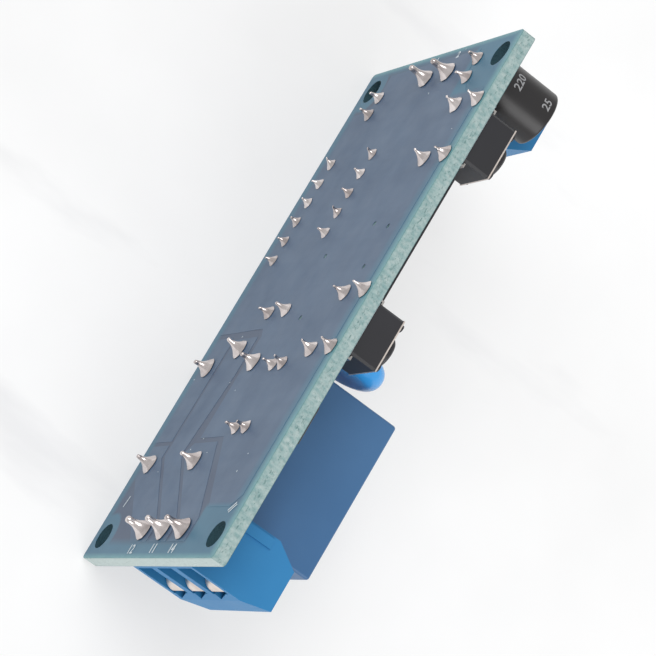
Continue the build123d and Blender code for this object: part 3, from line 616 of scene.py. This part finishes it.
def add_solder_side_print(finishes):
    """Plain numbers at the terminals, short strokes beside two holes, and pale crumbs."""
    marks = [number(*figure, SOLDER_SIDE) for figure in SOLDER_SIDE_FIGURES]
    marks += [sheet([path_outline(tick, TICK_WIDTH)], INK, SOLDER_SIDE) for tick in TICKS]
    for along, across in SPECKS:
        reach = random.uniform(*SPECK_LENGTH)
        turn = random.uniform(0, math.tau)
        far = (along + reach * math.cos(turn), across + reach * math.sin(turn))
        crumb = path_outline([(along, across), far], random.uniform(*SPECK_WIDTH))
        marks.append(sheet([crumb], INK, SOLDER_SIDE))
    piece = joined(marks)
    # The print lies on the coated copper
    for vertex in piece.data.vertices:
        vertex.co.y -= COPPER
    settle(piece, "solder_side_print", finishes["board_print"])


# Component side: tracks, pads, fillets and print

TRACK_WIDTH = 0.32
TRACKS = [
    [(13.2, 25.8), (11.4, 25.8), (9.6, 27.6), (9.6, 31.6), (10.8, 32.8), (24.0, 32.8)],
    [(13.2, 27.1), (11.9, 27.1), (10.6, 28.4), (10.6, 31.0), (12.0, 32.2), (20.0, 32.2)],
    [(20.7, 26.4), (22.4, 26.4), (24.3, 24.5), (27.4, 24.5)],
    [(20.7, 27.1), (23.0, 27.1), (25.0, 25.1), (31.4, 25.1), (32.7, 24.6)],
    [(20.7, 27.7), (23.2, 27.7), (24.2, 26.7), (33.4, 26.7), (36.9, 24.4)],
    [(20.7, 28.4), (22.2, 28.4), (22.2, 29.8)], [(13.2, 28.4), (12.1, 28.4)],
    [(30.4, 23.0), (32.4, 21.0), (34.2, 21.0), (35.7, 19.5), (35.7, 18.6)],
    [(38.1, 18.6), (38.1, 20.4), (36.9, 21.6), (36.9, 22.1)], [(40.5, 18.6), (40.5, 20.1)],
    [(42.9, 18.6), (42.9, 19.0)], [(45.3, 18.6), (45.3, 19.2), (47.6, 21.5)],
    [(47.7, 18.6), (47.7, 20.2), (49.3, 21.8)], [(50.1, 18.6), (50.1, 19.8), (51.6, 21.3)],
    [(52.5, 18.6), (54.2, 20.3), (54.2, 22.2), (53.6, 23.2)],
    [(46.9, 22.4), (47.9, 23.4), (48.9, 23.6)],
    [(45.6, 26.3), (44.2, 26.9), (44.2, 29.8), (46.8, 29.8)],
    [(47.6, 26.3), (50.4, 26.3), (55.6, 27.1)], [(33.0, 28.6), (38.0, 28.6), (39.4, 29.4)],
    [(28.9, 20.8), (30.0, 22.0)], [(34.4, 29.4), (31.6, 31.8)], [(36.9, 17.6), (36.9, 20.4)]]

# Nodes with a pad below each solid, and nodes whose solids have a pad below each end
LEAD_NODES = ("controller_leads", "regulator_leads", "diode_terminals")
CHIP_NODES = ("chip_resistors", "chip_capacitors")
# How far a pad reaches round a lead, beside a chip, out from its end and in below it
LEAD_MARGIN, CHIP_MARGIN, CHIP_PAD_OUT, CHIP_PAD_IN = 0.14, 0.08, 0.45, 0.5
# A chip's fillet: its length and height, its width and how far it reaches into the chip's end
FILLET_REACH, FILLET_WIDTH, FILLET_OVERLAP = 0.42, 1.15, 0.02
# The unit wedge that it is made from: its edges' rounding and how far its outer edge is drawn down
WEDGE_BEVEL, WEDGE_DROP = 0.08, 0.8

# Printed frames and rings: the part that each goes round, and the frame's margin or ring's radius
LINE = 0.15
FRAMED = {"relay_cover": 0.25, "switch_1_base": 0.55, "switch_2_base": 0.55,
          "controller_body": -0.3, "regulator_body": 0.25, "ceramic_body": 0.3,
          "terminal_3p_housing": 0.25, "terminal_2p_housing": 0.25, "disc_body": 0.35}
DIODE_MARGIN = 0.75
RINGED = {"capacitor_sleeve": 3.5, "lamp_relay_lens": 2.2, "lamp_power_lens": 2.2}
FRAME_LIMITS = (0.3, 63.0)
# The dot beside the controller's first lead: along and across from that corner, and its radius
DOT_ALONG, DOT_ACROSS, DOT_RADIUS = 1.6, -0.2, 0.3

# Figures on the resistors, in turn, and the numbers beside them, which stay clear of the regulator
CODES = ["102", "471", "103", "472", "331", "104", "222", "681"]
CODE_SIZE, LABEL_SIZE, LABEL_GAP, LABEL_CLEAR = 0.85, 0.95, 1.15, 3.5
# Figures on parts' tops: node, text, place along from its middle, across from it, size
TOP_FIGURES = [("controller_body", "0642", -0.5, 0.0, 1.3),
               ("controller_body", "17", 0.9, 0.0, 0.9),
               ("regulator_body", "25", 0.0, 0.0, 1.4)]
# Figures on the relay's top: text, place across, size
RELAY_FIGURES = [("12", 12.4, 3.2), ("10 250", 8.8, 1.9), ("10 30", 6.0, 1.9)]
# Figures on the board: text, place along and across
BOARD_FIGURES = [("1", 46.6, 31.0), ("2", 32.6, 31.2), ("14", 9.0, 23.2), ("11", 9.0, 19.4),
                 ("1", 54.8, 17.4), ("2", 54.9, 21.4), ("24", 26.6, 21.0)]
BOARD_FIGURE_SIZE = 1.5
# The band round a diode's end: its inset at the sides, and its two limits from the inset end
BAND_INSET, BAND_LIMITS = 0.3, (0.3, 0.85)


def surface_joints():
    """The footprint of every surface part's pad, as two values along and two across."""
    feet = [extent.grown(LEAD_MARGIN) for node in LEAD_NODES for extent in solids(node)]
    for node in CHIP_NODES:
        for chip in solids(node):
            along, across = chip.grown(CHIP_MARGIN)
            low, high = across if chip.upright else along
            ends = [(low - CHIP_PAD_OUT, low + CHIP_PAD_IN),
                    (high - CHIP_PAD_IN, high + CHIP_PAD_OUT)]
            feet += [(along, end) if chip.upright else (end, across) for end in ends]
    return feet


def add_component_copper(finishes):
    """Tracks under the mask, and tinned pads below the surface parts' leads."""
    tracks = [sheet([path_outline(points, TRACK_WIDTH)], COPPER, COMPONENT_SIDE)
              for points in TRACKS]
    settle(joined(tracks), "coated_tracks", finishes["coated_copper"])
    pads = [sheet([rectangle(*foot)], PAD, COMPONENT_SIDE) for foot in surface_joints()]
    settle(joined(pads), "surface_pads", finishes["tin_plate"])


def wedge_template():
    """A unit cube with its outer upper edge drawn down, and its edges rounded."""
    wedge = unit_cube()
    # Only the outer upper edge has both its ends past 0.4 in x and y
    select_edges(wedge, lambda place: place.x > 0.4 and place.y > 0.4)
    bpy.ops.transform.translate(value=(0, -WEDGE_DROP, 0))
    bpy.ops.mesh.select_all(action="SELECT")
    bpy.ops.mesh.bevel(offset=WEDGE_BEVEL, segments=2, affect="EDGES")
    bpy.ops.object.mode_set(mode="OBJECT")
    return wedge


def lay_wedge(piece, chip, side):
    """Lay a unit wedge against one end of a chip, on its pad. side is -1 or 1."""
    low, high = chip.across if chip.upright else chip.along
    reach = (high - low) / 2
    for vertex in piece.data.vertices:
        out, up, wide = vertex.co
        far = side * (reach - FILLET_OVERLAP + (out + 0.5) * FILLET_REACH)
        beside = wide * FILLET_WIDTH
        along, across = (beside, far) if chip.upright else (far, beside)
        height = face + PAD + (up + 0.5) * FILLET_REACH * MM
        place = on_board(chip.middle[0] + along, chip.middle[1] + across)
        vertex.co = place + Vector((0, height, 0))


def add_chip_fillets(finishes):
    """Solder that rises from each pad to a chip's end: one wedge, copied and laid there."""
    wedge = wedge_template()
    fillets = []
    for node in CHIP_NODES:
        for chip in solids(node):
            for side in (-1, 1):
                fillets.append(copied(wedge))
                lay_wedge(fillets[-1], chip, side)
    bpy.data.objects.remove(wedge)
    piece = joined(fillets)
    edit_whole(piece)
    close_outward()
    settle(piece, "chip_fillets", finishes["solder"], angle=60.0)


def component_outlines():
    """What is printed round the parts, as the outlines of one layer each."""
    marks = []
    for node, margin in FRAMED.items():
        (near, far), across = solids(node)[0].grown(margin)
        along = (max(near, FRAME_LIMITS[0]), min(far, FRAME_LIMITS[1]))
        marks.append(frame_outlines(along, across, LINE))
    for diode in solids("diode_bodies"):
        marks.append(frame_outlines(*diode.grown(DIODE_MARGIN), LINE))
    for node, radius in RINGED.items():
        middle = solids(node)[0].middle
        marks.append([ring(*middle, radius, 48), ring(*middle, radius - LINE, 48)])
    controller = solids("controller_body")[0]
    dot = (controller.along[1] + DOT_ALONG, controller.across[0] + DOT_ACROSS)
    return marks + [[ring(*dot, DOT_RADIUS, 16)]]


def component_figures():
    """Plain figures on the parts' tops, beside the resistors and on the board."""
    pieces = []
    quarter = math.pi / 2
    clear_of = solids("regulator_body")[0].middle[0]
    for index, chip in enumerate(solids("chip_resistors")):
        pieces.append(number(CODES[index % len(CODES)], *chip.middle, CODE_SIZE, COMPONENT_SIDE,
                             quarter if chip.upright else 0.0, chip.top * MM))
        if chip.upright and abs(chip.middle[0] - clear_of) > LABEL_CLEAR:
            pieces.append(number(str(index + 1), chip.middle[0], chip.across[1] + LABEL_GAP,
                                 LABEL_SIZE, COMPONENT_SIDE, lift=COPPER))
    for node, text, along, across, size in TOP_FIGURES:
        part = solids(node)[0]
        pieces.append(number(text, part.middle[0] + along, part.middle[1] + across, size,
                             COMPONENT_SIDE, quarter, part.top * MM))
    relay = solids("relay_cover")[0]
    for text, across, size in RELAY_FIGURES:
        pieces.append(number(text, relay.middle[0], across, size, COMPONENT_SIDE,
                             lift=relay.top * MM))
    for text, along, across in BOARD_FIGURES:
        pieces.append(number(text, along, across, BOARD_FIGURE_SIZE, COMPONENT_SIDE, lift=COPPER))
    return pieces


def diode_bands():
    """The pale band on each diode's top, near one end."""
    bands = []
    for diode in solids("diode_bodies"):
        along, across = diode.grown(-BAND_INSET)
        low = across[0] if diode.upright else along[0]
        band = tuple(low + limit for limit in BAND_LIMITS)
        outline = rectangle(along, band) if diode.upright else rectangle(band, across)
        bands.append(sheet([outline], INK, COMPONENT_SIDE, diode.top * MM))
    return bands


def add_component_print(finishes):
    """White outlines and plain numbers on the component side, and the figures on the parts."""
    pieces = [sheet(mark, INK, COMPONENT_SIDE, COPPER) for mark in component_outlines()]
    pieces += component_figures() + diode_bands()
    settle(joined(pieces), "component_side_print", finishes["board_print"])


# Print round the electrolytic capacitor

# The print is cut into strips that each turn this far round the sleeve
STRIP = math.radians(7.5)
# Where the main figures face, from +X towards +Z
FACING = math.radians(72)
FIGURE_OFFSET = 0.015 * MM
# Figures: text, size, height over the board, and turn from the facing
SLEEVE_FIGURES = [("25", 1.3, 6.35, 0.5), ("220", 1.3, 2.6, 0.55), ("105", 1.0, 5.9, 0.4 - math.pi)]
# The marked pole's stripe: width, two heights over the board, and turn from the facing
SLEEVE_STRIPE = (1.9, 0.7, 6.6, -math.pi / 2 - 0.5)


def rolled(piece, post, turn):
    """Cut a flat piece into upright strips and lay it round a post that stands on the board."""
    radius = (post.along[1] - post.along[0]) / 2 * MM
    step = radius * STRIP
    reach = int(max(abs(vertex.co.x) for vertex in piece.data.vertices) / step)
    edit_whole(piece)
    for cut in range(-reach, reach + 1):
        bpy.ops.mesh.select_all(action="SELECT")
        bpy.ops.mesh.bisect(plane_co=(cut * step, 0, 0), plane_no=(1, 0, 0))
    bpy.ops.object.mode_set(mode="OBJECT")
    for vertex in piece.data.vertices:
        wide, up, out = vertex.co
        away = heading(turn - wide / radius) * (radius + INK / 2 + out)
        vertex.co = on_board(*post.middle) + away + Vector((0, face + up, 0))
    return piece


def flat_bar(width, low, high):
    """A flat printed bar, to be rolled, between two heights over the board."""
    piece = unit_cube()
    bpy.ops.object.mode_set(mode="EDIT")
    bpy.ops.transform.resize(value=(width * MM, (high - low) * MM, INK))
    bpy.ops.transform.translate(value=(0, (low + high) / 2 * MM, 0))
    bpy.ops.object.mode_set(mode="OBJECT")
    return piece


def flat_figures(text, size, height):
    """Flat figures, to be rolled, that are read with the board's component face down."""
    piece = figures(text, size, FIGURE_OFFSET)
    for vertex in piece.data.vertices:
        wide, up, out = vertex.co
        vertex.co = (-wide, height * MM - up, out)
    return piece


def add_capacitor_print(finishes):
    """Plain figures and the marked pole's stripe round the capacitor's sleeve."""
    sleeve = solids("capacitor_sleeve")[0]
    pieces = [rolled(flat_figures(text, size, height), sleeve, FACING + turn)
              for text, size, height, turn in SLEEVE_FIGURES]
    *bar, turn = SLEEVE_STRIPE
    pieces.append(rolled(flat_bar(*bar), sleeve, FACING + turn))
    settle(joined(pieces), "capacitor_print", finishes["sleeve_print"])


# Leads and solder

# For the nodes whose leads are soldered, in millimetres: the radius of the solder's foot, its
# height, and the coated lead's radius at its tip
LEADED = {
    "relay_pins": (1.35, 1.4, 0.25), "terminal_3p_contacts": (1.5, 1.7, 0.36),
    "terminal_2p_contacts": (1.35, 1.6, 0.34), "switch_1_legs": (1.15, 1.3, 0.14),
    "switch_2_legs": (1.15, 1.3, 0.14), "display_pins": (0.8, 0.85, 0.13),
    "capacitor_leads": (1.0, 1.1, 0.17), "disc_leads": (1.0, 1.1, 0.17),
    "lamp_leads": (0.95, 1.0, 0.16), "ceramic_leads": (0.95, 1.0, 0.17)}
# A lead's lowest corners lie this close to its node's lowest one, and this close together
TIP_DEPTH, TIP_SPAN = 0.01 * MM, 1.1 * MM
# How far a tucked lead still stands out of the solder face, and how far its solder covers its tip
TUCKED, COVERED = 0.3 * MM, 0.08 * MM
# The unit joint's sides and rings
JOINT_SIDES, JOINT_RINGS = 20, 9
# How fast a joint narrows over its foot and leans towards its tip
FLARE, LEANING = 2.1, 1.6
# The last ring lies past this share of the joint's reach, and has this share of its thin radius
LAST_LEVEL, BLUNT = 0.99, 0.7
# The bounds between which the sides of a foot, and the tips of joints, differ in size
FOOT_WOBBLE, TIP_WOBBLE = (0.9, 1.08), (0.9, 1.15)
# A lead with a larger radius than this is stout
STOUT = 0.4 * MM
# The bounds of a joint's lean at its tip, in millimetres
STOUT_LEAN, THIN_LEAN = (0.0, 0.15), (0.05, 0.4)


class LeadPlace:
    """Where a lead leaves the solder face: its middle, its radius, its reach and its solder."""

    def __init__(self, node, corners):
        xs, ys, zs = zip(*corners)
        self.middle = Vector(((min(xs) + max(xs)) / 2, board_low.y, (min(zs) + max(zs)) / 2))
        self.radius = (max(xs) - min(xs)) / 2
        self.reach = board_low.y - min(ys)
        self.foot, self.height, self.tip = (size * MM for size in LEADED[node])


def lead_places():
    """Group the lowest points of every leaded node into its leads."""
    places = []
    for node in LEADED:
        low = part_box(node)[0].y
        groups = []
        for vertex in nodes[node].data.vertices:
            point = vertex.co.copy()
            if point.y > low + TIP_DEPTH:
                continue
            for group in groups:
                if (group[0] - point).length < TIP_SPAN:
                    group.append(point)
                    break
            else:
                groups.append([point])
        places += [LeadPlace(node, group) for group in groups]
    return sorted(places, key=lambda place: (round(place.middle.x, 5), round(place.middle.z, 5)))


def solder_template():
    """One unit joint: a round foot on the solder face, drawn out in rings and closed at its tip."""
    deselect()
    bpy.ops.mesh.primitive_circle_add(vertices=JOINT_SIDES, radius=1.0, fill_type="NGON")
    piece = bpy.context.object
    bpy.ops.object.mode_set(mode="EDIT")
    bpy.ops.transform.rotate(value=math.pi / 2, orient_axis="X", center_override=(0, 0, 0))
    step = {"value": (0, -1.0 / JOINT_RINGS, 0)}
    for _ in range(JOINT_RINGS):
        bpy.ops.mesh.extrude_region_move(TRANSFORM_OT_translate=step)
    close_outward()
    return piece


def shape_joint(piece, place, lean):
    """Draw the unit joint to its place: a flared foot, a waist round the lead, a leaning tip."""
    wobble = [random.uniform(*FOOT_WOBBLE) for _ in range(JOINT_SIDES)]
    cone = place.height / place.reach
    thin = place.tip * random.uniform(*TIP_WOBBLE)
    for vertex in piece.data.vertices:
        level = max(0.0, -vertex.co.y)
        angle = math.atan2(vertex.co.z, vertex.co.x)
        flare = max(0.0, 1.0 - level / cone)
        loose = wobble[round(angle / math.tau * JOINT_SIDES) % JOINT_SIDES]
        radius = thin + (place.foot * loose - thin) * flare ** FLARE
        if level > LAST_LEVEL:
            radius = thin * BLUNT
        drop = Vector((0, (place.reach + COVERED) * level, 0))
        vertex.co = place.middle + heading(angle) * radius + lean * level ** LEANING - drop


def add_solder(finishes):
    """A drawn-out cone for each lead, in place of the plain solder joints."""
    template = solder_template()
    cones = []
    for place in lead_places():
        amount = random.uniform(*(STOUT_LEAN if place.radius > STOUT else THIN_LEAN))
        lean = heading(random.uniform(0, math.tau)) * amount * MM
        cones.append(copied(template))
        shape_joint(cones[-1], place, lean)
    bpy.data.objects.remove(template)
    piece = joined(cones)
    smooth = piece.modifiers.new("smooth", "SUBSURF")
    smooth.levels = smooth.render_levels = 1
    bpy.ops.object.modifier_apply(modifier=smooth.name)
    settle_for(piece, "solder_cones", "solder_joints", finishes, angle=70.0)


def tuck_leads(finishes):
    """Copies of the leaded nodes that end inside their solder, which then draws the thin ends."""
    for node in LEADED:
        piece = copied(nodes[node])
        for vertex in piece.data.vertices:
            vertex.co.y = max(vertex.co.y, board_low.y - TUCKED)
        settle_for(piece, f"{node}_tucked", node, finishes)


def turn_digits(finishes):
    """Mirror the display. Its digits then lean to the right and have their points on the right."""
    low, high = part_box("display_shell")
    for node in ("display_shell", "display_segments"):
        piece = copied(nodes[node])
        edit_whole(piece)
        bpy.ops.transform.resize(value=(-1, 1, 1), center_override=((low.x + high.x) / 2, 0, 0))
        close_outward()
        settle_for(piece, f"{node}_read", node, finishes)


# Stage: floor, light and camera

FLOOR_SIZE = 3.0
PAPER = (srgb(242, 242, 242), srgb(250, 250, 250))
FAINT_MARK_TONE = srgb(226, 226, 228)
# How much of the paper a camera ray or a mirrored one sees as evenly white
EVEN_WHITE = 0.56
WORLD_STRENGTH = 0.6
# Lamps: place, size and watts, all aimed at the module's middle
LAMPS = {"key": ((-0.7, -1.2, 2.4), 1.9, 35.5), "fill": ((1.2, 0.6, 1.0), 1.2, 10.6)}
AIM = Vector((0.0, 0.005, 0.017))
# The camera, fitted to the photograph: its place, its right and up, sensor and focal length in mm
CAMERA_PLACE = Vector((0.096156, -0.101349, 0.312502))
CAMERA_RIGHT = Vector((-0.48768, 0.76090, 0.42802))
CAMERA_UP = Vector((-0.82298, -0.56429, 0.06546))
SENSOR, FOCAL_LENGTH = 36.0, 174.07


def add_floor():
    """White paper. Camera rays and mirrored ones see part of it evenly, so shadows stay light."""
    bpy.ops.mesh.primitive_grid_add(x_subdivisions=8, y_subdivisions=8, size=FLOOR_SIZE)
    floor = bpy.context.object
    floor.name = "floor"
    made = Finish("floor_paper", Roughness=0.9)
    tone = made.mix(made.spread(made.noise(22.0, 4.0), 0.35, 0.65), *PAPER)
    # Faint darker streaks across the paper
    faint_marks = made.spread(made.noise(60.0, 6.0, made.stretched(1.0, 0.25, 1.0)), 0.62, 0.72)
    tone = made.mix(faint_marks * 0.5, tone, FAINT_MARK_TONE)
    made.set("Base Color", tone)
    glow = made.node("ShaderNodeEmission", inputs={"Color": tone})
    seen = sum(made.node("ShaderNodeLightPath", out=f"Is {kind} Ray")
               for kind in ("Camera", "Glossy", "Transmission")).clamped() * EVEN_WHITE
    both = made.node("ShaderNodeMixShader", inputs={
        0: seen, 1: Value(made, made.surface.outputs[0]), 2: glow})
    made.tree.links.new(both.output, made.tree.nodes["Material Output"].inputs["Surface"])
    floor.data.materials.append(made.material)


def add_light():
    """A white world and the lamps."""
    world = bpy.data.worlds.new("studio")
    bpy.context.scene.world = world
    world.use_nodes = True
    back = world.node_tree.nodes["Background"]
    back.inputs["Color"].default_value = (1.0, 1.0, 1.0, 1.0)
    back.inputs["Strength"].default_value = WORLD_STRENGTH
    for name, (place, size, watts) in LAMPS.items():
        lamp = bpy.data.lights.new(name, "AREA")
        lamp.shape = "DISK"
        lamp.size = size
        lamp.energy = watts
        holder = bpy.data.objects.new(name, lamp)
        holder.location = place
        holder.rotation_euler = (AIM - Vector(place)).to_track_quat("-Z", "Y").to_euler()
        bpy.context.scene.collection.objects.link(holder)


def add_camera():
    """The photograph's view: far above the standing board, turned so that its end points down."""
    back = CAMERA_RIGHT.cross(CAMERA_UP).normalized()
    right = CAMERA_UP.cross(back).normalized()
    up = back.cross(right)
    lens = bpy.data.cameras.new("camera")
    lens.sensor_width = SENSOR
    lens.lens = FOCAL_LENGTH
    lens.clip_start = 0.01
    holder = bpy.data.objects.new("camera", lens)
    turn = Matrix((right, up, back)).transposed().to_4x4()
    holder.matrix_world = Matrix.Translation(CAMERA_PLACE) @ turn
    bpy.context.scene.collection.objects.link(holder)
    bpy.context.scene.camera = holder


def main():
    bpy.context.scene.view_settings.view_transform = "Standard"
    add_camera()
    add_light()
    add_floor()
    finishes = make_finishes()
    dress_nodes(finishes)
    add_solder(finishes)
    tuck_leads(finishes)
    turn_digits(finishes)
    add_copper(finishes)
    add_solder_side_print(finishes)
    add_component_copper(finishes)
    add_chip_fillets(finishes)
    add_component_print(finishes)
    add_capacitor_print(finishes)


main()
